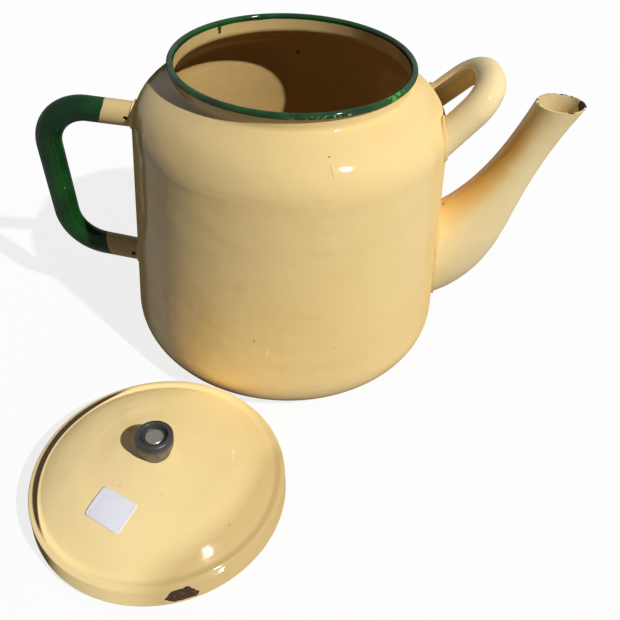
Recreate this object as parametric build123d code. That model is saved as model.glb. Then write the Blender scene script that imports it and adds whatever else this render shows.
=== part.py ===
from build123d import *
import os
from math import cos, radians, sin, tan

# A large enamelled steel teapot with its lift-off lid lying beside it.
# Origin: centre of the pot's base, on the table. +Z is up, +X points to the spout.
# All sizes are in millimetres and all angles in degrees.

# Enamelled sheet
SHEET = 1.2

# Pot body: a cone between the floor corner and the shoulder corner, both rounded
FOOT_RADIUS = 121.7
BASE_ROUND = 31.4
SHOULDER_RADIUS = 109.1
SHOULDER_HEIGHT = 198.0
SHOULDER_ROUND = 34.2
NECK_RADIUS = 80.5
SHOULDER_RISE = 15.7
NECK_RISE = 10.3
NECK_ROUND = 4.0

# Mouth bead: the neck's sheet rolled outwards and down
BEAD_RADIUS = 2.1
BEAD_WRAP_ANGLE = 262.0

# Strainer holes punched through the wall inside the spout's root
STRAINER_HOLE = 7.0
STRAINER_PITCH = 10.6
STRAINER_ROWS = 5
STRAINER_HEIGHT = 72.0

# Spout: its middle line is one curve from inside the wall to beyond the tip
SPOUT_ROOT_INSET = 20.7
SPOUT_ROOT_HEIGHT = 67.0
SPOUT_ROOT_ANGLE = 15.0
SPOUT_ROOT_PULL = 45.0
SPOUT_TIP_REACH = 65.7
SPOUT_TIP_HEIGHT = 200.0
SPOUT_TIP_ANGLE = 66.0
SPOUT_TIP_PULL = 80.0
SPOUT_OVERRUN = 8.0

# Spout section: an oval at the root that draws in to a round tip
SPOUT_ROOT_HALF_HEIGHT = 37.0
SPOUT_ROOT_HALF_WIDTH = 29.0
SPOUT_TIP_RADIUS = 14.0
SPOUT_HEIGHT_FLARE = 4.4
SPOUT_WIDTH_FLARE = 2.6
SPOUT_LIP_GAIN = 2.4
SPOUT_LIP_FLARE = 6
SPOUT_SECTIONS = 8

# Rear handle: an oval hollow tube bent to a D
HANDLE_DEPTH = 18.4
HANDLE_WIDTH = 15.6
HANDLE_TOP_REACH = 52.9
HANDLE_TOP_DROP = 10.4
HANDLE_TOP_ANGLE = 6.0
HANDLE_TOP_BEND = 28.0
HANDLE_LOW_REACH = 47.1
HANDLE_LOW_HEIGHT = 74.2
HANDLE_LOW_ANGLE = 12.0
HANDLE_LOW_BEND = 33.0

# Loop handle above the spout: a gutter of sheet, open to the inside of the loop,
# bent in a plane that slopes up and outwards
LOOP_DEPTH = 11.6
LOOP_WIDTH = 21.7
LOOP_TILT_ANGLE = 20.0
LOOP_EDGE_ROUND = 0.5
LOOP_SLOPE_ANGLE = 46.1
LOOP_FOOT_INSET = 6.0
LOOP_FOOT_DROP = 14.0
LOOP_REACH = 43.2
LOOP_TIP_HALF = 21.6
LOOP_SPLAY_ANGLE = 8.8
LOOP_BEND = 21.5

# How far a tube's middle line runs into the pot before the wall trims it
TUBE_ROOT = 22.0

# Vent holes that let air out of the hollow rear handle in the enamelling oven
VENT_DIAMETER = 3.2
VENT_FROM_WALL = 5.0

# Weld beads round the roots of spout and handles
WELD_THICK = 1.4
WELD_REACH = 2.0

# Lid, lying on its skirt in front of the pot
LID_OUT = -80.0
LID_FORWARD = -186.6
LID_RADIUS = 82.2
LID_EDGE_HEIGHT = 7.2
LID_TOP_HEIGHT = 45.4
CROWN_RADIUS = 165.0
CROWN_REACH = 44.0
FLANK_REACH = 71.3
FLANK_END_HEIGHT = 25.4
GROOVE_RUN = 4.9
GROOVE_ROUND = 3.6
CREST_OUT = 81.1
CREST_HEIGHT = 25.5
CREST_ROUND = 2.6

# The band's turned-in lip and the skirt's flange that lies on it
LIP_ROUND = 1.7
LIP_REACH = 2.9
SKIRT_CLEARANCE = 2.0
SKIRT_FLANGE = 2.9
SKIRT_FLANGE_ROUND = 1.8
SKIRT_FOOT = 2.1
SKIRT_FOOT_ROUND = 0.5

# Knob with a dished top
KNOB_RADIUS = 11.9
KNOB_FOOT_RADIUS = 8.8
KNOB_HEIGHT = 17.0
KNOB_SINK = 0.6
KNOB_BELLY_RADIUS = 11.6
KNOB_BELLY_HEIGHT = 8.2
KNOB_BELLY_ROUND = 7.0
KNOB_RIM_ROUND = 2.2
DISH_RADIUS = 8.8
DISH_FLOOR_RADIUS = 6.9
DISH_DEPTH = 3.6
DISH_ROUND = 0.9

# Rivet through knob and lid, and the washer under the lid
RIVET_RADIUS = 3.0
RIVET_CLEARANCE = 0.05
RIVET_HEAD_RADIUS = 5.8
RIVET_HEAD_HEIGHT = 1.3
RIVET_TAIL_RADIUS = 4.8
RIVET_TAIL_HEIGHT = 1.8
WASHER_RADIUS = 9.0
WASHER_THICK = 1.2


def turned(face):
    """Revolve a face drawn in radius and height about the vertical axis."""
    return revolve(Plane.XZ * face, Axis.Z)


def tilted(rise, length=1.0):
    """Vector in the XZ plane that points along +X and rises by an angle."""
    return Vector(cos(radians(rise)), 0, sin(radians(rise))) * length


def wall_radius(height):
    """Outer radius of the pot's conical wall at a height."""
    return FOOT_RADIUS - (FOOT_RADIUS - SHOULDER_RADIUS) * height / SHOULDER_HEIGHT


def neck_top():
    """Height of the neck's upper end, where the bead begins."""
    return SHOULDER_HEIGHT + SHOULDER_RISE + NECK_RISE


def pot_line():
    """Outer line of the pot, from the base's centre to the top of its neck."""
    return FilletPolyline(
        (0, 0),
        (FOOT_RADIUS, 0),
        (SHOULDER_RADIUS, SHOULDER_HEIGHT),
        (NECK_RADIUS, SHOULDER_HEIGHT + SHOULDER_RISE),
        (NECK_RADIUS, neck_top()),
        radius=(BASE_ROUND, SHOULDER_ROUND, NECK_ROUND),
    )


def pot_block(grow=0.0):
    """The pot's body as one filled solid, grown on all sides by an amount."""
    closing = Polyline((NECK_RADIUS, neck_top()), (0, neck_top()), (0, 0))
    block = turned(make_face(pot_line().edges() + closing.edges()))
    if grow > 0:
        block = offset(block, amount=grow)
    return block


def bead_face():
    """Section of the mouth bead: a strip of sheet curled outwards and down."""
    centre = Vector(NECK_RADIUS - SHEET + BEAD_RADIUS, neck_top())
    turns = (180, 180 - BEAD_WRAP_ANGLE / 2, 180 - BEAD_WRAP_ANGLE)
    ways = [Vector(cos(radians(turn)), sin(radians(turn))) for turn in turns]
    outside = [centre + way * BEAD_RADIUS for way in ways]
    inside = [centre + way * (BEAD_RADIUS - SHEET) for way in ways]
    curves = [
        ThreePointArc(*outside),
        ThreePointArc(*inside),
        Line(outside[0], inside[0]),
        Line(outside[2], inside[2]),
    ]
    return make_face([curve.edge() for curve in curves])


def strainer_punches():
    """Round punches in a hexagonal field that fits inside the spout's root."""
    middle = (STRAINER_ROWS - 1) / 2
    places = []
    for row in range(STRAINER_ROWS):
        away = row - middle
        count = STRAINER_ROWS - abs(int(away))
        for step in range(count):
            across = (step - (count - 1) / 2) * STRAINER_PITCH
            height = STRAINER_HEIGHT + away * STRAINER_PITCH * sin(radians(60))
            places.append(Location((wall_radius(height), across, height), (0, 90, 0)))
    return [place * Cylinder(STRAINER_HOLE / 2, FOOT_RADIUS - NECK_RADIUS) for place in places]


def pot_shell():
    """Pot body: one skin of sheet with the mouth bead and the strainer holes."""
    wall = make_face(offset(pot_line(), amount=SHEET, side=Side.LEFT).edges())
    shell = turned(wall) + turned(bead_face())
    return shell - strainer_punches()


def spout_curve():
    """Middle line of the spout."""
    root = Vector(FOOT_RADIUS - SPOUT_ROOT_INSET, 0, SPOUT_ROOT_HEIGHT)
    tip = Vector(FOOT_RADIUS + SPOUT_TIP_REACH, 0, SPOUT_TIP_HEIGHT)
    end = tip + tilted(SPOUT_TIP_ANGLE, SPOUT_OVERRUN)
    return Bezier(
        root,
        root + tilted(SPOUT_ROOT_ANGLE, SPOUT_ROOT_PULL),
        end - tilted(SPOUT_TIP_ANGLE, SPOUT_TIP_PULL),
        end,
    )


def spout_form(grow=0.0):
    """The spout as a block, with every section grown by an amount."""
    curve = spout_curve()
    sections = []
    for step in range(SPOUT_SECTIONS):
        share = step / (SPOUT_SECTIONS - 1)
        fade = cos(radians(90 * share))
        height_gain = (SPOUT_ROOT_HALF_HEIGHT - SPOUT_TIP_RADIUS) * fade**SPOUT_HEIGHT_FLARE
        width_gain = (SPOUT_ROOT_HALF_WIDTH - SPOUT_TIP_RADIUS) * fade**SPOUT_WIDTH_FLARE
        plane = Plane(origin=curve @ share, x_dir=(0, 1, 0), z_dir=curve % share)
        lip_gain = SPOUT_LIP_GAIN * share**SPOUT_LIP_FLARE
        width = SPOUT_TIP_RADIUS + width_gain + lip_gain + grow
        height = SPOUT_TIP_RADIUS + height_gain + lip_gain + grow
        sections.append(plane * Ellipse(width, height))
    return loft(sections)


def above_tip():
    """Block of space over the level that the spout's tip is cut off at."""
    reach = 2 * (FOOT_RADIUS + SPOUT_TIP_REACH)
    return Pos(reach / 2, 0, SPOUT_TIP_HEIGHT + reach / 2) * Box(reach, reach, reach)


def spout(body):
    """Hollow spout, open onto the strainer and cut level at its tip."""
    return spout_form() - body - spout_form(-SHEET) - above_tip()


def handle_top():
    """Upper corner of the rear handle: how far out it is, and its height."""
    return FOOT_RADIUS + HANDLE_TOP_REACH, SHOULDER_HEIGHT - HANDLE_TOP_DROP


def handle_low():
    """Lower corner of the rear handle: how far out it is, and its height."""
    return FOOT_RADIUS + HANDLE_LOW_REACH, HANDLE_LOW_HEIGHT


def handle_path():
    """Middle line of the rear handle, running into the pot at both ends."""
    top_out, top_height = handle_top()
    low_out, low_height = handle_low()
    top = Vector(-top_out, 0, top_height)
    low = Vector(-low_out, 0, low_height)
    top_run = top_out - wall_radius(top_height) + TUBE_ROOT
    low_run = low_out - wall_radius(low_height) + TUBE_ROOT
    return FilletPolyline(
        top + tilted(-HANDLE_TOP_ANGLE, top_run),
        top,
        low,
        low + tilted(-HANDLE_LOW_ANGLE, low_run),
        radius=(HANDLE_TOP_BEND, HANDLE_LOW_BEND),
    )


def loop_plane():
    """Plane of the loop handle. Its x runs up and outwards."""
    return Plane(
        origin=(SHOULDER_RADIUS - LOOP_FOOT_INSET, 0, SHOULDER_HEIGHT - LOOP_FOOT_DROP),
        x_dir=tilted(LOOP_SLOPE_ANGLE),
        z_dir=tilted(LOOP_SLOPE_ANGLE + 90),
    )


def loop_path():
    """Middle line of the loop handle, running into the pot at both ends."""
    root = LOOP_REACH - (LOOP_REACH + TUBE_ROOT) * cos(radians(LOOP_SPLAY_ANGLE))
    root_half = LOOP_TIP_HALF + (LOOP_REACH + TUBE_ROOT) * sin(radians(LOOP_SPLAY_ANGLE))
    flat = FilletPolyline(
        (root, -root_half),
        (LOOP_REACH, -LOOP_TIP_HALF),
        (LOOP_REACH, LOOP_TIP_HALF),
        (root, root_half),
        radius=(LOOP_BEND, LOOP_BEND),
    )
    return loop_plane() * flat


def bent(section, path, facing):
    """Sweep a section along a path in a plane that faces one way."""
    return sweep(Plane(origin=path @ 0, x_dir=facing, z_dir=path % 0) * section, path=path)


def handle_form(grow=0.0):
    """The rear handle's tube as a block."""
    section = Ellipse(HANDLE_WIDTH / 2 + grow, HANDLE_DEPTH / 2 + grow)
    return bent(section, handle_path(), (0, 1, 0))


def half_oval(grow=0.0):
    """Half of an oval on its flat side, as deep and wide as the loop's gutter."""
    width = LOOP_WIDTH / 2 + grow
    depth = LOOP_DEPTH + grow
    return Ellipse(width, depth) - Pos(0, -depth) * Rectangle(3 * width, 2 * depth)


def loop_bent(section):
    """Bend a section to the loop, with its back turned out and tilted up."""
    return bent(Rot(0, 0, -LOOP_TILT_ANGLE) * section, loop_path(), loop_plane().z_dir)


def loop_form(grow=0.0):
    """The loop handle as a block, flat on the side where the gutter is open."""
    return loop_bent(half_oval(grow))


def vent_drills():
    """Drills for the vent holes, one beside each root of the rear handle."""
    drills = []
    for (out, height), rise in ((handle_top(), HANDLE_TOP_ANGLE), (handle_low(), HANDLE_LOW_ANGLE)):
        near_wall = wall_radius(height) + VENT_FROM_WALL
        level = height - (out - near_wall) * tan(radians(rise))
        drill = Cylinder(VENT_DIAMETER / 2, HANDLE_WIDTH)
        drills.append(Location((-near_wall, -HANDLE_WIDTH / 2, level), (90, 0, 0)) * drill)
    return drills


def rear_handle(body):
    """Hollow D handle, open onto the pot's wall, with its vent holes."""
    return handle_form() - handle_form(-SHEET) - body - vent_drills()


def loop_handle(body):
    """Gutter of sheet with rounded edges, bent to a loop on the pot's shoulder."""
    gutter = half_oval() - half_oval(-SHEET)
    edges = gutter.vertices().group_by(Axis.Y)[0]
    return loop_bent(fillet(edges, LOOP_EDGE_ROUND)) - body


def welds(grown_form, form, body, swollen_body):
    """Weld beads round the roots of one form, as a list of separate rings."""
    rings = (grown_form & swollen_body) - form - body
    return list(rings.solids())


def lid_line():
    """Outer line of the lid's cover, from the crown to the end of its lip."""
    crown_drop = CROWN_RADIUS - (CROWN_RADIUS**2 - CROWN_REACH**2) ** 0.5
    crown = TangentArc((0, LID_TOP_HEIGHT), (CROWN_REACH, LID_TOP_HEIGHT - crown_drop), tangent=(1, 0))
    flank = TangentArc(crown @ 1, (FLANK_REACH, FLANK_END_HEIGHT), tangent=crown % 1)
    rim = FilletPolyline(
        flank @ 1,
        flank @ 1 + (flank % 1) * GROOVE_RUN,
        (CREST_OUT, CREST_HEIGHT),
        (LID_RADIUS, LID_EDGE_HEIGHT),
        (LID_RADIUS - LIP_REACH, LID_EDGE_HEIGHT),
        radius=(GROOVE_ROUND, CREST_ROUND, LIP_ROUND),
    )
    return Wire(crown.edges() + flank.edges() + rim.edges())


def rivet_hole():
    """Drill for the rivet's shank, through knob, cover and washer."""
    return Pos(0, 0, LID_TOP_HEIGHT) * Cylinder(RIVET_RADIUS + RIVET_CLEARANCE, LID_TOP_HEIGHT)


def lid_cover():
    """Domed cover with a groove, a rounded band and a turned-in lip."""
    skin = make_face(offset(lid_line(), amount=SHEET, side=Side.RIGHT).edges())
    return turned(skin) - rivet_hole()


def lid_skirt():
    """Ring that drops into the mouth. Its flange lies on the cover's lip."""
    inner = NECK_RADIUS - SHEET - SKIRT_CLEARANCE - SHEET
    flange_top = LID_EDGE_HEIGHT + 2 * SHEET
    line = FilletPolyline(
        (inner + SHEET + SKIRT_FLANGE, flange_top),
        (inner, flange_top),
        (inner, SHEET),
        (inner - SKIRT_FOOT, SHEET),
        radius=(SKIRT_FLANGE_ROUND, SKIRT_FOOT_ROUND),
    )
    return turned(make_face(offset(line, amount=SHEET, side=Side.LEFT).edges()))


def crown_ball(radius):
    """Ball about the centre of the lid's crown, to trim what is seated on it."""
    return Pos(0, 0, LID_TOP_HEIGHT - CROWN_RADIUS) * Sphere(radius)


def lid_knob():
    """Cast knob that widens upwards to a rounded rim round a dish."""
    side = FilletPolyline(
        (0, -KNOB_SINK),
        (KNOB_FOOT_RADIUS, -KNOB_SINK),
        (KNOB_BELLY_RADIUS, KNOB_BELLY_HEIGHT),
        (KNOB_RADIUS, KNOB_HEIGHT),
        (DISH_RADIUS, KNOB_HEIGHT),
        (DISH_FLOOR_RADIUS, KNOB_HEIGHT - DISH_DEPTH),
        (0, KNOB_HEIGHT - DISH_DEPTH),
        radius=(DISH_ROUND, KNOB_BELLY_ROUND, KNOB_RIM_ROUND, DISH_ROUND, DISH_ROUND),
    )
    knob = turned(make_face(side.edges() + Line(side @ 1, side @ 0).edges()))
    return Pos(0, 0, LID_TOP_HEIGHT) * knob - crown_ball(CROWN_RADIUS) - rivet_hole()


def knob_rivet():
    """Rivet with a flat head in the knob's dish and a tail under the washer."""
    head_seat = LID_TOP_HEIGHT + KNOB_HEIGHT - DISH_DEPTH
    tail_seat = LID_TOP_HEIGHT - SHEET - WASHER_THICK
    shank = Cylinder(RIVET_RADIUS, head_seat - tail_seat, align=(Align.CENTER, Align.CENTER, Align.MIN))
    head = Cylinder(RIVET_HEAD_RADIUS, RIVET_HEAD_HEIGHT, align=(Align.CENTER, Align.CENTER, Align.MIN))
    tail = Cylinder(RIVET_TAIL_RADIUS, RIVET_TAIL_HEIGHT, align=(Align.CENTER, Align.CENTER, Align.MAX))
    head = chamfer(head.edges().sort_by(Axis.Z)[-1], RIVET_HEAD_HEIGHT / 3)
    tail = chamfer(tail.edges().sort_by(Axis.Z)[0], RIVET_TAIL_HEIGHT / 3)
    return Pos(0, 0, tail_seat) * shank + Pos(0, 0, head_seat) * head + Pos(0, 0, tail_seat) * tail


def knob_washer():
    """Washer between the lid's inside and the rivet's tail."""
    ring = Cylinder(WASHER_RADIUS, WASHER_THICK, align=(Align.CENTER, Align.CENTER, Align.MAX))
    return Pos(0, 0, LID_TOP_HEIGHT - SHEET) * ring & crown_ball(CROWN_RADIUS - SHEET) - rivet_hole()


def beside_pot(form):
    """Move a piece of the lid from the pot's axis to where the lid lies."""
    return Pos(LID_OUT, LID_FORWARD, 0) * form


def build_parts():
    """Every piece of the teapot by its node name."""
    body = pot_block()
    swollen = pot_block(WELD_REACH)
    handle_welds = welds(handle_form(WELD_THICK), handle_form(), body, swollen)
    loop_welds = welds(loop_form(WELD_THICK), loop_form(), body, swollen)
    spout_welds = welds(spout_form(WELD_THICK), spout_form(), body, swollen)
    low_weld, high_weld = sorted(handle_welds, key=lambda ring: ring.center().Z)
    near_weld, far_weld = sorted(loop_welds, key=lambda ring: ring.center().Y)
    return {
        "pot_shell": pot_shell(),
        "spout": spout(body),
        "rear_handle": rear_handle(body),
        "loop_handle": loop_handle(body),
        "spout_weld": spout_welds[0],
        "handle_weld_upper": high_weld,
        "handle_weld_lower": low_weld,
        "loop_weld_near": near_weld,
        "loop_weld_far": far_weld,
        "lid_cover": beside_pot(lid_cover()),
        "lid_skirt": beside_pot(lid_skirt()),
        "lid_knob": beside_pot(lid_knob()),
        "knob_rivet": beside_pot(knob_rivet()),
        "knob_washer": beside_pot(knob_washer()),
    }


os.makedirs("parts", exist_ok=True)
for node, solid in build_parts().items():
    print(node, len(solid.solids()), round(solid.volume), solid.bounding_box())
    export_step(solid, f"parts/{node}.step")
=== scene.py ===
import bpy
import math
from mathutils import Matrix, Vector, noise
from mathutils.bvhtree import BVHTree


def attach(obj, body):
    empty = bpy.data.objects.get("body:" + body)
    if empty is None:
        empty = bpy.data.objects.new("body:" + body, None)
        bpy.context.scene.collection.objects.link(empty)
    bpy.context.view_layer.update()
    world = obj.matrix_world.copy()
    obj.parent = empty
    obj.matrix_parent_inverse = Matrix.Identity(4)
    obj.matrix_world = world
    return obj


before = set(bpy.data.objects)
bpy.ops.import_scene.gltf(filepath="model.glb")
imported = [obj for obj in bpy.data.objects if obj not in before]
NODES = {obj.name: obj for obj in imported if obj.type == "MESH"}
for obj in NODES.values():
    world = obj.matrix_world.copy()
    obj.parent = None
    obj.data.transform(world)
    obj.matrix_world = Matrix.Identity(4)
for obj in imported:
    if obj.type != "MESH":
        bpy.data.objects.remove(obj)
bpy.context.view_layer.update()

# The photograph's camera, in pixels, metres and radians, with its sensor in millimetres
IMAGE_SIDE = 620
FOCAL_PIXELS = 733.925
CENTRE_PIXEL = (309.643, 298.583)
SENSOR_WIDTH = 36.0
CAMERA_PLACE = Vector((-0.0036, -0.4753, 0.4219))
CAMERA_YAW = 0.04995
CAMERA_PITCH = 0.70745
CAMERA_ROLL = 0.05699
CAMERA_NEAR = 0.01

# Lamps: a key from the right front, and an even sky
KEY_WAY = Vector((-0.521, 0.469, -0.713))
KEY_STRENGTH = 3.6
KEY_ANGLE = math.radians(1.4)
SKY_STRENGTH = 0.08
SKY_STRENGTH_SEEN = 1.0

# Floor, which glows only where it is looked at
FLOOR_SIDE = 8.0
FLOOR_COLOUR = (0.15, 0.15, 0.15, 1)
FLOOR_GLOW = 0.83
FLOOR_ROUGHNESS = 0.9
FLOOR_GLOSS = 0.2

# Colours, linear
WHITE = (1, 1, 1, 1)
LID_CREAM = (0.93, 0.72, 0.35, 1)
LID_WARM = (0.90, 0.67, 0.30, 1)
# Painted shade: a darker cream at the lid's right and on its front right flank
LID_PAINTED_SHADE = (0.56, 0.40, 0.17, 1)
# Painted shadow: a near black brown in the lid's groove at the left
LID_GROOVE_SHADOW = (0.050, 0.026, 0.010, 1)
POT_CREAM = (0.85, 0.63, 0.28, 1)
POT_WARM = (0.82, 0.57, 0.22, 1)
# Painted shade: a darker cream for the pot's shoulder
POT_SHOULDER_PAINTED_SHADE = (0.66, 0.49, 0.22, 1)
# Painted shade: the handle's cream ends are a darker cream than the pot's
HANDLE_PAINTED_SHADE_CREAM = (0.60, 0.45, 0.21, 1)
HANDLE_PAINTED_SHADE_WARM = (0.56, 0.40, 0.17, 1)
SPOUT_CREAM = (0.88, 0.71, 0.37, 1)
SPOUT_WARM = (0.86, 0.64, 0.28, 1)
# Painted bounce light: orange on the spout's side that faces the pot
SPOUT_PAINTED_BOUNCE = (0.86, 0.52, 0.15, 1)
TEA_STAIN = (0.47, 0.30, 0.11, 1)
GREEN = (0.008, 0.070, 0.012, 1)
GREEN_DARK = (0.005, 0.032, 0.009, 1)
GREEN_WORN = (0.06, 0.33, 0.035, 1)
CHIP_EDGE = (0.006, 0.005, 0.004, 1)
CHIP_FLOOR = (0.036, 0.022, 0.013, 1)
BARE_SPECK = (0.50, 0.50, 0.45, 1)
RUST = (0.16, 0.055, 0.018, 1)
KNOB_DARK = (0.052, 0.050, 0.050, 1)
# Lighter grey: a painted reflection on the knob's side, and real scuffs
KNOB_WEAR_AND_REFLECTION = (0.27, 0.25, 0.21, 1)
RIVET_GREY = (0.27, 0.255, 0.225, 1)
STEEL = (0.34, 0.33, 0.31, 1)
PAPER = (0.80, 0.79, 0.86, 1)
PAPER_GREY = (0.62, 0.58, 0.52, 1)

# From here on, places are in metres in the part's frame, and azimuths in degrees
# A pair is the two ends of a range, or where a mask is still none and where it is full

# A distance beyond all sizes here
FAR = 1.0

# Gloss, its fade towards a silhouette, and reliefs as a bump's strength and distance
GLOSS = 0.22
POT_GLOSS = 0.18
HANDLE_GLOSS = 0.09
GLOSS_FADE = (0.80, 0.35)
ENAMEL_RELIEF = (0.35, 0.0022)
KNOB_RELIEF = (0.25, 0.0004)
STEEL_RELIEF = (0.30, 0.0003)
PAPER_RELIEF = (0.20, 0.0002)
KNOB_METALLIC = 0.35
STEEL_METALLIC = 0.8
STEEL_SPOT_SHARE = 0.6

# Softness of painted edges, of ragged spots and of small dots, and the dots' grain per metre
PAINT_SOFT = 0.0001
SPOT_SOFT = 0.0004
DOT_SOFT = 0.0002
DOT_GRAIN = 900.0

# Height of the enamel: waves, ripples and skin, as scales per metre and shares of the slow waves
WAVE_SCALE = 26.0
SMALL_WAVE_SCALE = 85.0
SMALL_WAVE_SHARE = 0.30
RIPPLE_SCALE_ACROSS = 75.0
RIPPLE_SCALE_ALONG = 20.0
RIPPLE_SHARE = 0.65
SKIN_SCALE = 330.0
SKIN_SHARE = 0.035

# Roughness of the enamel at least, and what handling adds at most
ENAMEL_ROUGHNESS = 0.04
HANDLE_ROUGHNESS = 0.05
HANDLED_ROUGHNESS = 0.10

# Chips: how much rougher and lower their floor is than the enamel
CHIP_ROUGHNESS = 0.5
CHIP_DEPTH = 0.12

# Inside of the pot: walls, by normal times place from the axis, and floor
POT_AXIS = (0.0, 0.0)
INWARD = (0.0, -0.004)
POT_FLOOR_HEIGHTS = (0.0006, 0.0200)
POT_FLOOR_HEIGHT_SOFT = 0.0002
POT_FLOOR_RADIUS = 0.0900
POT_FLOOR_RADIUS_SOFT = 0.0005

# Tea stain, from the neck down
STAIN_HEIGHTS = (0.212, 0.150)
STAIN_LEAST = 0.45
STAIN_GROWTH = 0.40

# Painted shade on the pot's shoulder, strongest at the left
SHOULDER_HEIGHTS = (0.172, 0.200)
SHOULDER_AZIMUTH = -20
SHOULDER_REACH = (0.110, -0.060)

# Green bead, the green inside of the mouth, and one run of green as two spots with their sizes
BEAD_FOOT = 0.2216
BEAD_INNER_RADIUS = 0.0798
BEAD_RADIUS_SOFT = 0.0002
MOUTH_INSIDE_FOOT = 0.2226
GREEN_RUN = (((-0.0537, 0.0584, 0.2212), 0.0017), ((-0.0537, 0.0584, 0.2188), 0.0013))
GREEN_RUN_RAGGED = 0.0008

# Wear on the bead: rubbed green at the front right, and bare specks low at the front
RUBBED_AZIMUTHS = (-47.0, -34.0)
RUBBED_SOFT = 3.0
RUBBED_SHARE = 0.9
SPECK_AZIMUTHS = (-90.0, -64.0)
SPECK_SOFT = 4.0
SPECK_HEIGHTS = (0.2250, 0.2238)

# Small marks on the pot: rust dots with their sizes, and a hairline that leans to the left
POT_DOTS = (
    ((-0.0217, -0.1148, 0.0741), 0.0007),
    ((0.0341, -0.1118, 0.0672), 0.0006),
    ((0.0222, -0.0933, 0.2049), 0.0006),
    ((0.0047, 0.1077, 0.1860), 0.0019),
)
POT_DOT_RAGGED = 0.0006
POT_DOT_SHARE = 0.8
HAIRLINE_PLACE = (0.0240, -0.0990, 0.1985)
HAIRLINE_REACH = 0.0040
HAIRLINE_RAGGED = 0.0005
HAIRLINE_LEAN = 0.45
HAIRLINE_OFFSET = 0.1133
HAIRLINE_HALF_WIDTH = (0.0004, 0.0001)
HAIRLINE_SHARE = 0.4

# Spout: the lip's wear and its growth per metre of y, the chipped tip, a nick, and the painted orange bounce
# light on its side to the pot
LIP_HEIGHTS = (0.1999, 0.2002)
LIP_WEAR = (0.46, 0.54)
LIP_WEAR_GROWTH = 6.0
LIP_CORE_SHARE = 0.4
TIP_PLACE = (0.2035, 0.0, 0.2000)
TIP_CHIP_RADIUS = 0.0052
TIP_CORE_RADIUS = 0.0042
TIP_RAGGED = 0.0040
TIP_GRAIN = 300.0
NICK_PLACE = (0.1189, -0.0009, 0.1148)
NICK_RADIUS = 0.0008
NICK_RAGGED = 0.0004
BOUNCE_TURN = (-0.28, -0.75)
BOUNCE_HEIGHTS = (0.205, 0.165)
BOUNCE_SHARE = 0.85

# Rear handle: each end of the green grip as a height, a lean and an x, and the stained vents
GRIP_MIDDLE = 0.1300
GRIP_TOP = (0.183, 0.30, -0.1320)
GRIP_FOOT = (0.070, -0.19, -0.1412)
VENT_STAINS = (((-0.1148, -0.0072, 0.1813), 0.0013), ((-0.1220, -0.0072, 0.0643), 0.0014))
VENT_STAIN_RAGGED = 0.0010
VENT_STAIN_GRAIN = 500.0
VENT_STAIN_SOFT = 0.0005
VENT_STAIN_SHARE = 0.7

# Lid: its middle, and the rust dots on its dome with their sizes
LID_PLACE = Vector((-0.0800, -0.1866, 0))
LID_DOTS = (
    ((-0.0986, -0.2105, 0.0423), 0.0006),
    ((-0.0725, -0.2164, 0.0422), 0.0005),
    ((-0.0319, -0.2287, 0.0303), 0.0006),
)
LID_DOT_RAGGED = 0.0004
LID_DOT_SHARE = 0.5

# The lid's band, and the chip in it: its middle, and each side's turn in degrees and distance from there
BAND_INNER_RADIUS = 0.0803
BAND_RADIUS = 0.0815
CHIP_AZIMUTH = -73.4
CHIP_HEIGHT = 0.0159
CHIP_SIDES = ((-90, 0.0056), (97, 0.0058), (-123, 0.0076), (150, 0.0076), (33, 0.0070), (-36, 0.0100))
CHIP_CORE = (0.0004, 0.0009)
LOW_EDGE_HEIGHTS = (0.0079, 0.0076)

# Painted shade on the lid, at its right and on its front right flank
RIGHT_AZIMUTH = -20
RIGHT_REACH = (-0.010, 0.085)
RIGHT_SHARE = 0.65
FLANK_AZIMUTH = -38
FLANK_REACH = (0.035, 0.066)
FLANK_RADII = (0.052, 0.074)
FLANK_SHARE = 0.75
LID_SHADE_SHARE = 0.95

# Painted shadow in the lid's groove, which thins out away from the left
GROOVE_SHADOW_AZIMUTH = 166
GROOVE_SHADOW_LEFTNESS = (0.40, 0.98)
GROOVE_SHADOW_RADIUS = 0.0788
GROOVE_SHADOW_WIDTH = 0.0038
GROOVE_SHADOW_INNER_SOFT = 0.0005
GROOVE_SHADOW_OUTER = (-0.0003, 0.0009)
GROOVE_SHADOW_ENDS = (0.10, 0.60)

# Relief that fills the lid's groove for the eye, on the dome, the crest and the band
FILL_AZIMUTH = 138
FILL_AWAYNESS = (-0.35, 0.65)
FILL_START = 0.030
FILL_GROWTH = 4.2
CREST_RADII = (0.0757, BAND_INNER_RADIUS)
CREST_DROP = -0.0022
BAND_TOP = 0.0235
BAND_LEAN = 0.55

# Knob: where its lighter side lies, a painted reflection of the lid's cream with rubbed patches
KNOB_SIDE_HEIGHTS = (0.0603, 0.0540)
KNOB_SIDE_RADII = (0.0090, 0.0096)

# Paper label on the lid: size, place from the lid's middle, grid, curl and thickness
LABEL_WIDTH = 0.0264
LABEL_HEIGHT = 0.0192
LABEL_CORNER = 0.0024
LABEL_OFFSET = Vector((-0.0218, -0.0381, 0))
LABEL_TURN = math.radians(-31.5)
LABEL_COLUMNS = 40
LABEL_ROWS = 30
LABEL_GAP = 0.00012
LABEL_CURL = 0.0005
LABEL_CURL_START = 0.8
LABEL_CURL_SCALE = 180
LABEL_THICKNESS = 0.0001
ABOVE_THE_LID = 0.1


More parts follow.
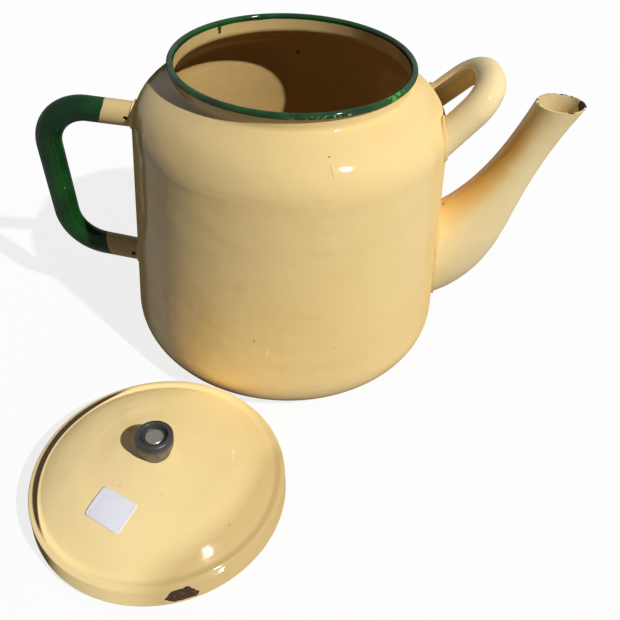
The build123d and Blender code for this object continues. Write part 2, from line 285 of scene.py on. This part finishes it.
class Graph:
    """A material's nodes, with short calls for the few kinds that are used here."""

    # The mix node's sockets for colours
    FIRST_COLOUR = 6
    SECOND_COLOUR = 7
    MIXED_COLOUR = 2

    def __init__(self, name):
        self.material = bpy.data.materials.new(name)
        self.material.use_nodes = True
        self.tree = self.material.node_tree
        self.shader = self.tree.nodes["Principled BSDF"]
        self.here = self.add("ShaderNodeTexCoord").outputs["Object"]
        self.xyz = self.add("ShaderNodeSeparateXYZ", Vector=self.here).outputs

    def add(self, kind, settings=None, **inputs):
        """New node of a kind, with its settings and its inputs."""
        item = self.tree.nodes.new(kind)
        for key, value in (settings or {}).items():
            setattr(item, key, value)
        for key, value in inputs.items():
            self.put(item.inputs[key], value)
        return item

    def put(self, socket, value):
        """Link a socket to another node's output, or set it to a plain value."""
        if isinstance(value, bpy.types.NodeSocket):
            self.tree.links.new(value, socket)
        else:
            socket.default_value = value

    def calculate(self, operation, first, second=0.0, clamp=False):
        item = self.add("ShaderNodeMath", {"operation": operation, "use_clamp": clamp})
        self.put(item.inputs[0], first)
        self.put(item.inputs[1], second)
        return item.outputs[0]

    def plus(self, first, second):
        return self.calculate("ADD", first, second)

    def minus(self, first, second):
        return self.calculate("SUBTRACT", first, second)

    def both(self, first, second):
        """Product of two values, which for two masks is where both are."""
        return self.calculate("MULTIPLY", first, second)

    def either(self, first, second):
        return self.calculate("MAXIMUM", first, second)

    def vectors(self, operation, first, second):
        """One number from two vectors."""
        item = self.add("ShaderNodeVectorMath", {"operation": operation})
        self.put(item.inputs[0], first)
        self.put(item.inputs[1], second)
        return item.outputs["Value"]

    def normal(self):
        return self.add("ShaderNodeNewGeometry").outputs["Normal"]

    def mix(self, share, first, second):
        """First colour with a share of the second laid over it."""
        item = self.add("ShaderNodeMix", {"data_type": "RGBA"})
        self.put(item.inputs[0], share)
        self.put(item.inputs[self.FIRST_COLOUR], first)
        self.put(item.inputs[self.SECOND_COLOUR], second)
        return item.outputs[self.MIXED_COLOUR]

    def ramp(self, value, least, growth):
        """Line that is least where a value is 0, and higher by the growth where it is 1."""
        return self.plus(self.both(value, growth), least)

    def step(self, value, low, high):
        """Smooth step of a value from 0 at low to 1 at high."""
        item = self.add("ShaderNodeMapRange", {"interpolation_type": "SMOOTHSTEP"})
        self.put(item.inputs["Value"], value)
        self.put(item.inputs["From Min"], low)
        self.put(item.inputs["From Max"], high)
        return item.outputs["Result"]

    def above(self, value, limit, soft=PAINT_SOFT):
        return self.step(value, limit - soft, limit + soft)

    def below(self, value, limit, soft=PAINT_SOFT):
        return self.step(value, limit + soft, limit - soft)

    def between(self, value, low, high, soft):
        return self.both(self.above(value, low, soft), self.below(value, high, soft))

    def noise(self, scale, detail=2.0, roughness=0.5, place=None):
        """Noise about one half, at the shaded point if no other place is given."""
        place = self.here if place is None else place
        item = self.add("ShaderNodeTexNoise", Vector=place, Scale=scale, Detail=detail, Roughness=roughness)
        return item.outputs["Fac"]

    def wander(self, scale, reach, detail=2.0):
        """Noise about zero, as far each way as half the reach."""
        return self.both(self.minus(self.noise(scale, detail), 0.5), reach)

    def patches(self, scale, detail, low, high, roughness=0.5, share=1.0):
        """Mask of where a noise rises from low to high, times a share."""
        return self.both(self.step(self.noise(scale, detail, roughness), low, high), share)

    def blob(self, place, radius, ragged, grain=400.0, soft=SPOT_SOFT):
        """Mask of a ragged round spot on the surface near a place."""
        edge = self.plus(self.wander(scale=grain, reach=ragged, detail=3.0), radius)
        away = self.vectors("DISTANCE", self.here, place)
        return self.above(self.minus(edge, away), 0.0, soft)

    def offset(self, axis):
        """How far a point lies from an upright axis along x, and along y."""
        return self.minus(self.xyz[0], axis[0]), self.minus(self.xyz[1], axis[1])

    def from_axis(self, axis):
        """Distance from an upright axis, and the azimuth round it in degrees."""
        x, y = self.offset(axis)
        radius = self.calculate("SQRT", self.plus(self.both(x, x), self.both(y, y)))
        turn = self.calculate("ARCTAN2", y, x)
        return radius, self.both(turn, math.degrees(1.0))

    def reach(self, axis, azimuth):
        """How far a point lies from an upright axis in one level direction."""
        turn = math.radians(azimuth)
        x, y = self.offset(axis)
        return self.plus(self.both(x, math.cos(turn)), self.both(y, math.sin(turn)))

    def cosine(self, axis, azimuth, radius):
        """1 where a point lies at an azimuth round an axis, 0 beside it and -1 opposite."""
        return self.calculate("DIVIDE", self.reach(axis, azimuth), radius)

    def finish(self, colour, roughness, height, relief=ENAMEL_RELIEF, gloss=GLOSS, form=None):
        """Join colour, gloss and relief to the shader. A form is one more relief, in metres."""
        strength, distance = relief
        bump = self.add("ShaderNodeBump", Height=height, Strength=strength, Distance=distance)
        if form is not None:
            shape = self.add("ShaderNodeBump", Height=form, Strength=1.0, Distance=1.0)
            self.put(bump.inputs["Normal"], shape.outputs["Normal"])
        facing = self.add("ShaderNodeLayerWeight", Blend=0.5).outputs["Facing"]
        specular = self.both(self.step(facing, *GLOSS_FADE), gloss)
        self.put(self.shader.inputs["Base Color"], colour)
        self.put(self.shader.inputs["Roughness"], roughness)
        self.put(self.shader.inputs["Specular IOR Level"], specular)
        self.put(self.shader.inputs["Normal"], bump.outputs["Normal"])
        return self.material


def cream_colour(graph, plain=POT_CREAM, warm=POT_WARM):
    """Cream enamel with faint clouds and a few pinhole specks."""
    clouds = graph.patches(scale=9.0, detail=2.0, low=0.40, high=0.70, share=0.6)
    pinholes = graph.patches(scale=210.0, detail=1.0, low=0.845, high=0.855, share=0.7)
    return graph.mix(pinholes, graph.mix(clouds, plain, warm), RUST)


def enamel_height(graph, across=None):
    """Waves, ripples and a fine skin. Ripples run level, or round the axis where across is a radius."""
    across = graph.xyz[2] if across is None else across
    small_waves = graph.both(graph.noise(SMALL_WAVE_SCALE, detail=1.0), SMALL_WAVE_SHARE)
    waves = graph.plus(graph.noise(WAVE_SCALE, detail=1.0), small_waves)
    quick = graph.both(across, RIPPLE_SCALE_ACROSS)
    slow_x = graph.both(graph.xyz[0], RIPPLE_SCALE_ALONG)
    slow_y = graph.both(graph.xyz[1], RIPPLE_SCALE_ALONG)
    stretched = graph.add("ShaderNodeCombineXYZ", X=slow_x, Y=slow_y, Z=quick).outputs[0]
    ripples = graph.both(graph.noise(scale=1.0, detail=1.0, place=stretched), RIPPLE_SHARE)
    skin = graph.both(graph.noise(SKIN_SCALE), SKIN_SHARE)
    return graph.plus(graph.plus(waves, ripples), skin)


def enamel_roughness(graph, least=ENAMEL_ROUGHNESS):
    """Smooth enamel, dulled in patches where hands have been."""
    handled = graph.noise(scale=60.0, detail=4.0, roughness=0.6)
    return graph.ramp(handled, least, HANDLED_ROUGHNESS)


def chipped(graph, colour, roughness, height, chip, core):
    """Lay chips into an enamel: a black edge round a brown floor, sunk a little."""
    rusty = graph.patches(scale=500.0, detail=4.0, low=0.5, high=0.75)
    floor = graph.mix(core, CHIP_EDGE, graph.mix(rusty, CHIP_FLOOR, RUST))
    colour = graph.mix(chip, colour, floor)
    roughness = graph.plus(roughness, graph.both(chip, CHIP_ROUGHNESS))
    height = graph.minus(height, graph.both(chip, CHIP_DEPTH))
    return colour, roughness, height


def dotted(graph, colour, dots, ragged, share, grain=DOT_GRAIN, soft=DOT_SOFT):
    """Lay rust dots into a colour, each at its place with its size."""
    for place, size in dots:
        dot = graph.blob(place, size, ragged, grain, soft)
        colour = graph.mix(graph.both(dot, share), colour, RUST)
    return colour


def pot_inside(graph, radius):
    """Mask of the pot's faces that look to its axis, and of its floor inside."""
    x, y, z = graph.xyz
    from_middle = graph.add("ShaderNodeCombineXYZ", X=x, Y=y).outputs[0]
    wall = graph.step(graph.vectors("DOT_PRODUCT", graph.normal(), from_middle), *INWARD)
    low = graph.between(z, *POT_FLOOR_HEIGHTS, POT_FLOOR_HEIGHT_SOFT)
    middle = graph.below(radius, POT_FLOOR_RADIUS, POT_FLOOR_RADIUS_SOFT)
    return graph.either(wall, graph.both(low, middle))


def tea_stain(graph, radius):
    """Share of the tea stain inside the pot, which grows downward."""
    level = graph.plus(graph.xyz[2], graph.wander(scale=28.0, reach=0.05, detail=4.0))
    share = graph.ramp(graph.step(level, *STAIN_HEIGHTS), STAIN_LEAST, STAIN_GROWTH)
    return graph.both(pot_inside(graph, radius), share)


def painted_shoulder_shade(graph):
    """Share of the painted shade on the pot's shoulder."""
    high = graph.step(graph.xyz[2], *SHOULDER_HEIGHTS)
    left = graph.step(graph.reach(POT_AXIS, SHOULDER_AZIMUTH), *SHOULDER_REACH)
    return graph.both(high, left)


def green_masks(graph, radius):
    """Mask of the bead's outside, and of all green: the bead, the mouth's inside and the run."""
    level = graph.plus(graph.xyz[2], graph.wander(scale=90.0, reach=0.0012))
    outside = graph.above(radius, BEAD_INNER_RADIUS, BEAD_RADIUS_SOFT)
    bead = graph.both(graph.above(level, BEAD_FOOT), outside)
    green = graph.either(bead, graph.above(level, MOUTH_INSIDE_FOOT))
    for place, size in GREEN_RUN:
        green = graph.either(green, graph.blob(place, size, GREEN_RUN_RAGGED))
    return bead, green


def bead_colour(graph, azimuth):
    """Two greens in patches, rubbed lighter at the front right."""
    shades = graph.patches(scale=55.0, detail=3.0, low=0.35, high=0.62)
    front_right = graph.between(azimuth, *RUBBED_AZIMUTHS, RUBBED_SOFT)
    rubbed = graph.patches(scale=260.0, detail=4.0, low=0.44, high=0.56, share=RUBBED_SHARE)
    return graph.mix(graph.both(front_right, rubbed), graph.mix(shades, GREEN_DARK, GREEN), GREEN_WORN)


def bare_specks(graph, azimuth, bead):
    """Mask of bare specks low on the bead at the front."""
    front = graph.between(azimuth, *SPECK_AZIMUTHS, SPECK_SOFT)
    level = graph.plus(graph.xyz[2], graph.wander(scale=60.0, reach=0.0016))
    low = graph.step(level, *SPECK_HEIGHTS)
    specks = graph.patches(scale=620.0, detail=3.0, low=0.56, high=0.60)
    return graph.both(graph.both(specks, graph.both(front, low)), bead)


def hairline(graph):
    """Mask of a short thin scratch on the shoulder's front."""
    leaning = graph.plus(graph.xyz[0], graph.both(graph.xyz[2], HAIRLINE_LEAN))
    aside = graph.calculate("ABSOLUTE", graph.minus(leaning, HAIRLINE_OFFSET))
    near = graph.blob(HAIRLINE_PLACE, HAIRLINE_REACH, HAIRLINE_RAGGED)
    return graph.both(near, graph.step(aside, *HAIRLINE_HALF_WIDTH))


def pot_material():
    """Cream body with painted shade on its shoulder, tea stains inside, the green bead with its wear, and
    small marks.
    """
    graph = Graph("pot enamel")
    radius, azimuth = graph.from_axis(POT_AXIS)
    bead, green = green_masks(graph, radius)
    # Painted shade on the shoulder, strongest at the left
    colour = graph.mix(painted_shoulder_shade(graph), cream_colour(graph), POT_SHOULDER_PAINTED_SHADE)
    colour = graph.mix(tea_stain(graph, radius), colour, TEA_STAIN)
    colour = graph.mix(green, colour, bead_colour(graph, azimuth))
    colour = graph.mix(bare_specks(graph, azimuth, bead), colour, BARE_SPECK)
    colour = dotted(graph, colour, POT_DOTS, POT_DOT_RAGGED, POT_DOT_SHARE)
    colour = graph.mix(graph.both(hairline(graph), HAIRLINE_SHARE), colour, CHIP_FLOOR)
    return graph.finish(colour, enamel_roughness(graph), enamel_height(graph), gloss=POT_GLOSS)


def plain_material(name, plain=POT_CREAM, warm=POT_WARM):
    """Cream enamel without marks of its own."""
    graph = Graph(name)
    colour = cream_colour(graph, plain, warm)
    return graph.finish(colour, enamel_roughness(graph), enamel_height(graph))


def spout_wear(graph):
    """Mask of the worn lip, the chipped tip and a nick, and mask of their brown floors."""
    _, y, z = graph.xyz
    ragged = graph.plus(z, graph.wander(scale=300.0, reach=0.0030, detail=4.0))
    lip = graph.step(ragged, *LIP_HEIGHTS)
    wear = graph.plus(graph.noise(scale=150.0, detail=3.0), graph.both(y, LIP_WEAR_GROWTH))
    broken = graph.both(lip, graph.step(wear, *LIP_WEAR))
    tip = graph.blob(TIP_PLACE, TIP_CHIP_RADIUS, TIP_RAGGED, TIP_GRAIN)
    tip_core = graph.blob(TIP_PLACE, TIP_CORE_RADIUS, TIP_RAGGED, TIP_GRAIN)
    nick = graph.blob(NICK_PLACE, NICK_RADIUS, NICK_RAGGED, DOT_GRAIN, DOT_SOFT)
    worn = graph.either(graph.either(broken, nick), tip)
    return worn, graph.either(graph.both(lip, LIP_CORE_SHARE), tip_core)


def spout_material():
    """Cream enamel with painted orange bounce light on the side to the pot, worn at the lip and the tip."""
    graph = Graph("spout enamel")
    normal_x = graph.add("ShaderNodeSeparateXYZ", Vector=graph.normal()).outputs[0]
    # Painted orange bounce light on the side that faces the pot
    painted_bounce = graph.both(graph.step(normal_x, *BOUNCE_TURN), graph.step(graph.xyz[2], *BOUNCE_HEIGHTS))
    plain = cream_colour(graph, SPOUT_CREAM, SPOUT_WARM)
    colour = graph.mix(graph.both(painted_bounce, BOUNCE_SHARE), plain, SPOUT_PAINTED_BOUNCE)
    enamel = (colour, enamel_roughness(graph), enamel_height(graph))
    return graph.finish(*chipped(graph, *enamel, *spout_wear(graph)))


def grip_end(graph, height, lean, x):
    """Mask of the grip's side of a leaning line across the tube, a little uneven."""
    line = graph.ramp(graph.minus(graph.xyz[2], height), x, lean)
    uneven = graph.plus(graph.xyz[0], graph.wander(scale=70.0, reach=0.002))
    return graph.above(graph.minus(line, uneven), 0.0)


def handle_material():
    """Green grip between two cream ends darkened as painted shade, with rust stains at the vents."""
    graph = Graph("handle enamel")
    upper = graph.above(graph.xyz[2], GRIP_MIDDLE)
    top = graph.both(grip_end(graph, *GRIP_TOP), upper)
    foot = graph.both(grip_end(graph, *GRIP_FOOT), graph.minus(1.0, upper))
    green = graph.calculate("ADD", top, foot, clamp=True)
    shades = graph.mix(graph.patches(scale=30.0, detail=2.0, low=0.35, high=0.65), GREEN_DARK, GREEN)
    # The cream ends carry painted shade
    colour = graph.mix(green, cream_colour(graph, HANDLE_PAINTED_SHADE_CREAM, HANDLE_PAINTED_SHADE_WARM), shades)
    colour = dotted(
        graph, colour, VENT_STAINS, VENT_STAIN_RAGGED, VENT_STAIN_SHARE, VENT_STAIN_GRAIN, VENT_STAIN_SOFT,
    )
    roughness = enamel_roughness(graph, HANDLE_ROUGHNESS)
    return graph.finish(colour, roughness, enamel_height(graph), gloss=HANDLE_GLOSS)


def lid_wear(graph, radius, azimuth):
    """Mask of the angular chip and the darkened lower edge, and mask of the chip's brown floor."""
    z = graph.xyz[2]
    along = graph.both(graph.minus(azimuth, CHIP_AZIMUTH), BAND_RADIUS * math.radians(1.0))
    upward = graph.minus(z, CHIP_HEIGHT)
    within = FAR
    for side, distance in CHIP_SIDES:
        turn = math.radians(side)
        out = graph.plus(graph.both(along, math.cos(turn)), graph.both(upward, math.sin(turn)))
        within = graph.calculate("MINIMUM", within, graph.minus(distance, out))
    within = graph.plus(within, graph.wander(scale=420.0, reach=0.0022, detail=3.0))
    on_band = graph.above(radius, BAND_INNER_RADIUS)
    chip = graph.both(graph.above(within, 0.0), on_band)
    core = graph.both(graph.step(within, *CHIP_CORE), on_band)
    # The lower edge is drawn dark like the chip
    ragged = graph.plus(z, graph.wander(scale=180.0, reach=0.0020, detail=4.0))
    low_edge = graph.step(ragged, *LOW_EDGE_HEIGHTS)
    return graph.either(chip, low_edge), core


def painted_lid_shade(graph, radius):
    """Share of painted shade at the lid's right and on its front right flank."""
    right = graph.step(graph.reach(LID_PLACE, RIGHT_AZIMUTH), *RIGHT_REACH)
    front_right = graph.step(graph.reach(LID_PLACE, FLANK_AZIMUTH), *FLANK_REACH)
    flank = graph.both(graph.step(radius, *FLANK_RADII), front_right)
    share = graph.calculate("ADD", graph.both(right, RIGHT_SHARE), graph.both(flank, FLANK_SHARE), clamp=True)
    return graph.both(share, LID_SHADE_SHARE)


def painted_groove_shadow(graph, radius):
    """Mask of the painted shadow, a dark line in the lid's groove, widest at the left."""
    left = graph.step(graph.cosine(LID_PLACE, GROOVE_SHADOW_AZIMUTH, radius), *GROOVE_SHADOW_LEFTNESS)
    depth = graph.minus(GROOVE_SHADOW_RADIUS, radius)
    inner = graph.above(graph.minus(graph.both(left, GROOVE_SHADOW_WIDTH), depth), 0.0, GROOVE_SHADOW_INNER_SOFT)
    outer = graph.step(depth, *GROOVE_SHADOW_OUTER)
    return graph.both(graph.both(inner, outer), graph.step(left, *GROOVE_SHADOW_ENDS))


def lid_form(graph, radius):
    """Relief in metres that softens the lid's groove: on the far dome, the crest and the band."""
    away = graph.step(graph.cosine(LID_PLACE, FILL_AZIMUTH, radius), *FILL_AWAYNESS)
    beyond = graph.calculate("SUBTRACT", radius, FILL_START, clamp=True)
    dome = graph.both(graph.both(graph.both(beyond, beyond), FILL_GROWTH), away)
    crest = graph.both(graph.step(radius, *CREST_RADII), CREST_DROP)
    lean = graph.both(graph.minus(BAND_TOP, graph.xyz[2]), BAND_LEAN)
    band = graph.both(lean, graph.step(radius, BAND_INNER_RADIUS, BAND_RADIUS))
    return graph.plus(graph.plus(crest, band), dome)


def lid_material():
    """Cream enamel with painted shade, a painted shadow in the groove, an angular chip and a darkened lower
    edge.
    """
    graph = Graph("lid enamel")
    radius, azimuth = graph.from_axis(LID_PLACE)
    colour = cream_colour(graph, LID_CREAM, LID_WARM)
    # Painted shade at the lid's right and on its front right flank
    colour = graph.mix(painted_lid_shade(graph, radius), colour, LID_PAINTED_SHADE)
    # Painted shadow in the groove at the left
    colour = graph.mix(painted_groove_shadow(graph, radius), colour, LID_GROOVE_SHADOW)
    enamel = (colour, enamel_roughness(graph), enamel_height(graph, radius))
    colour, roughness, height = chipped(graph, *enamel, *lid_wear(graph, radius, azimuth))
    colour = dotted(graph, colour, LID_DOTS, LID_DOT_RAGGED, LID_DOT_SHARE)
    return graph.finish(colour, roughness, height, form=lid_form(graph, radius))


def knob_material():
    """Dark cast metal, smooth on the rim; its side a lighter grey that is a painted reflection of the lid's
    cream with rubbed patches.
    """
    graph = Graph("knob metal")
    radius, _ = graph.from_axis(LID_PLACE)
    side = graph.both(graph.step(graph.xyz[2], *KNOB_SIDE_HEIGHTS), graph.step(radius, *KNOB_SIDE_RADII))
    patches = graph.patches(scale=210.0, detail=5.0, low=0.34, high=0.66, roughness=0.65)
    # Painted reflection of the lid's cream on the knob's side, patchy like rubbed wear
    rubbed = graph.both(side, graph.ramp(patches, least=0.45, growth=0.5))
    scuffs = graph.patches(scale=900.0, detail=3.0, low=0.58, high=0.75, share=0.15)
    colour = graph.mix(graph.either(rubbed, scuffs), KNOB_DARK, KNOB_WEAR_AND_REFLECTION)
    graph.shader.inputs["Metallic"].default_value = KNOB_METALLIC
    roughness = graph.ramp(graph.noise(scale=240.0, detail=4.0), least=0.26, growth=0.2)
    height = graph.plus(graph.noise(scale=700.0, detail=4.0), graph.noise(scale=160.0))
    return graph.finish(colour, roughness, height, KNOB_RELIEF)


def steel_material(name, colour):
    """Dull steel with fine dark spots."""
    graph = Graph(name)
    spots = graph.patches(scale=800.0, detail=5.0, low=0.45, high=0.7, roughness=0.7)
    spotted = graph.mix(graph.both(spots, STEEL_SPOT_SHARE), colour, CHIP_FLOOR)
    graph.shader.inputs["Metallic"].default_value = STEEL_METALLIC
    roughness = graph.ramp(spots, least=0.38, growth=0.2)
    height = graph.noise(scale=1200.0, detail=4.0)
    return graph.finish(spotted, roughness, height, STEEL_RELIEF)


def paper_material():
    """White paper with a faint grain and faint grey patches."""
    graph = Graph("paper")
    grain = graph.noise(scale=1400.0, detail=4.0, roughness=0.7)
    grey = graph.patches(scale=150.0, detail=3.0, low=0.45, high=0.8, share=0.12)
    colour = graph.mix(grey, PAPER, PAPER_GREY)
    roughness = graph.ramp(grain, least=0.5, growth=0.1)
    return graph.finish(colour, roughness, grain, PAPER_RELIEF)


def dress(name, material):
    """Give a CAD node its material."""
    mesh = NODES[name].data
    mesh.materials.clear()
    mesh.materials.append(material)


def placed(name, data):
    """New object with its data, linked to the scene."""
    body = bpy.data.objects.new(name, data)
    bpy.context.scene.collection.objects.link(body)
    return body


def lid_surface():
    """Ray caster on the lid's cover."""
    mesh = NODES["lid_cover"].data
    points = [vertex.co.copy() for vertex in mesh.vertices]
    faces = [tuple(face.vertices) for face in mesh.polygons]
    return BVHTree.FromPolygons(points, faces)


def rounded(u, v):
    """Pull a point of the label's grid in where it lies outside the rounded corner."""
    straight_u = LABEL_WIDTH / 2 - LABEL_CORNER
    straight_v = LABEL_HEIGHT / 2 - LABEL_CORNER
    du = abs(u) - straight_u
    dv = abs(v) - straight_v
    if du > 0 and dv > 0:
        scale = max(du, dv) / math.hypot(du, dv)
        u = math.copysign(straight_u + du * scale, u)
        v = math.copysign(straight_v + dv * scale, v)
    return u, v


def label_points():
    """The label's grid of points on the lid's dome, lifted unevenly near its rim."""
    surface = lid_surface()
    along = Vector((math.cos(LABEL_TURN), math.sin(LABEL_TURN), 0))
    across = Vector((-along.y, along.x, 0))
    points = []
    for row in range(LABEL_ROWS + 1):
        for column in range(LABEL_COLUMNS + 1):
            u, v = rounded(
                (column / LABEL_COLUMNS - 0.5) * LABEL_WIDTH,
                (row / LABEL_ROWS - 0.5) * LABEL_HEIGHT,
            )
            spot = LID_PLACE + LABEL_OFFSET + along * u + across * v
            start = Vector((spot.x, spot.y, ABOVE_THE_LID))
            place, normal, _, _ = surface.ray_cast(start, Vector((0, 0, -1)))
            rim = max(abs(u) / (LABEL_WIDTH / 2), abs(v) / (LABEL_HEIGHT / 2))
            uneven = 1 + noise.noise(spot * LABEL_CURL_SCALE)
            curl = LABEL_CURL * max(0.0, rim - LABEL_CURL_START) * uneven
            points.append(place + normal * (LABEL_GAP + curl))
    return points


def grid_faces(columns, rows):
    """Faces between the points of a grid that is stored row by row."""
    faces = []
    for row in range(rows):
        for column in range(columns):
            first = row * (columns + 1) + column
            faces.append((first, first + 1, first + columns + 2, first + columns + 1))
    return faces


def sticker():
    """Blank paper label on the lid's dome, with rounded corners and a slight curl."""
    mesh = bpy.data.meshes.new("sticker")
    mesh.from_pydata(label_points(), [], grid_faces(LABEL_COLUMNS, LABEL_ROWS))
    mesh.materials.append(paper_material())
    for face in mesh.polygons:
        face.use_smooth = True
    label = placed("sticker", mesh)
    solid = label.modifiers.new("thickness", "SOLIDIFY")
    solid.thickness = LABEL_THICKNESS
    solid.offset = 1
    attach(label, "lid")


def camera():
    """The photograph's camera."""
    data = bpy.data.cameras.new("camera")
    data.sensor_width = SENSOR_WIDTH
    data.lens = FOCAL_PIXELS * SENSOR_WIDTH / IMAGE_SIDE
    data.shift_x = (IMAGE_SIDE / 2 - CENTRE_PIXEL[0]) / IMAGE_SIDE
    data.shift_y = (CENTRE_PIXEL[1] - IMAGE_SIDE / 2) / IMAGE_SIDE
    data.clip_start = CAMERA_NEAR
    way = Vector((
        math.sin(CAMERA_YAW) * math.cos(CAMERA_PITCH),
        math.cos(CAMERA_YAW) * math.cos(CAMERA_PITCH),
        -math.sin(CAMERA_PITCH),
    ))
    level = Vector((math.cos(CAMERA_YAW), -math.sin(CAMERA_YAW), 0))
    upright = level.cross(way)
    right = level * math.cos(CAMERA_ROLL) + upright * math.sin(CAMERA_ROLL)
    up = upright * math.cos(CAMERA_ROLL) - level * math.sin(CAMERA_ROLL)
    body = placed("camera", data)
    body.matrix_world = Matrix.Translation(CAMERA_PLACE) @ Matrix((right, up, -way)).transposed().to_4x4()
    bpy.context.scene.camera = body


def looked_at(tree):
    """1 for rays from the camera, also by way of a mirror or a clear piece, and 0 for light."""
    path = tree.nodes.new("ShaderNodeLightPath")
    seen = path.outputs["Is Camera Ray"]
    for kind in ("Is Glossy Ray", "Is Transmission Ray"):
        larger = tree.nodes.new("ShaderNodeMath")
        larger.operation = "MAXIMUM"
        tree.links.new(seen, larger.inputs[0])
        tree.links.new(path.outputs[kind], larger.inputs[1])
        seen = larger.outputs[0]
    return seen


def key_lamp():
    """Sun from the right front, small enough for crisp shadows."""
    data = bpy.data.lights.new("key", "SUN")
    data.energy = KEY_STRENGTH
    data.angle = KEY_ANGLE
    key = placed("key", data)
    key.rotation_mode = "QUATERNION"
    key.rotation_quaternion = KEY_WAY.to_track_quat("-Z", "Y")


def sky():
    """Even sky that gives little light, and shows white to the eye and in reflections."""
    world = bpy.data.worlds.new("sky")
    bpy.context.scene.world = world
    world.use_nodes = True
    nodes, links = world.node_tree.nodes, world.node_tree.links
    back = nodes["Background"]
    back.inputs["Color"].default_value = WHITE
    level = nodes.new("ShaderNodeMapRange")
    level.inputs["To Min"].default_value = SKY_STRENGTH
    level.inputs["To Max"].default_value = SKY_STRENGTH_SEEN
    links.new(looked_at(world.node_tree), level.inputs["Value"])
    links.new(level.outputs["Result"], back.inputs["Strength"])


def floor_material():
    """Matt grey floor that glows where it is looked at, so that it shows nearly white."""
    material = bpy.data.materials.new("floor")
    material.use_nodes = True
    nodes, links = material.node_tree.nodes, material.node_tree.links
    shader = nodes["Principled BSDF"]
    shader.inputs["Base Color"].default_value = FLOOR_COLOUR
    shader.inputs["Roughness"].default_value = FLOOR_ROUGHNESS
    shader.inputs["Specular IOR Level"].default_value = FLOOR_GLOSS
    shader.inputs["Emission Color"].default_value = WHITE
    glow = nodes.new("ShaderNodeMath")
    glow.operation = "MULTIPLY"
    glow.inputs[1].default_value = FLOOR_GLOW
    links.new(looked_at(material.node_tree), glow.inputs[0])
    links.new(glow.outputs[0], shader.inputs["Emission Strength"])
    return material


def floor():
    """Floor that keeps the object's shadow."""
    half = FLOOR_SIDE / 2
    corners = [(-half, -half, 0), (half, -half, 0), (half, half, 0), (-half, half, 0)]
    mesh = bpy.data.meshes.new("floor")
    mesh.from_pydata(corners, [], [(0, 1, 2, 3)])
    mesh.materials.append(floor_material())
    sheet = placed("floor", mesh)


camera()
key_lamp()
sky()
floor()
cream = plain_material("cream enamel")
dress("pot_shell", pot_material())
dress("spout", spout_material())
dress("rear_handle", handle_material())
dress("loop_handle", plain_material("loop enamel", SPOUT_CREAM, SPOUT_WARM))
for weld in ("spout_weld", "handle_weld_upper", "handle_weld_lower", "loop_weld_near", "loop_weld_far"):
    dress(weld, cream)
dress("lid_cover", lid_material())
dress("lid_skirt", cream)
dress("lid_knob", knob_material())
dress("knob_rivet", steel_material("rivet steel", RIVET_GREY))
dress("knob_washer", steel_material("washer steel", STEEL))
sticker()

bpy.context.scene.view_settings.view_transform = "Standard"
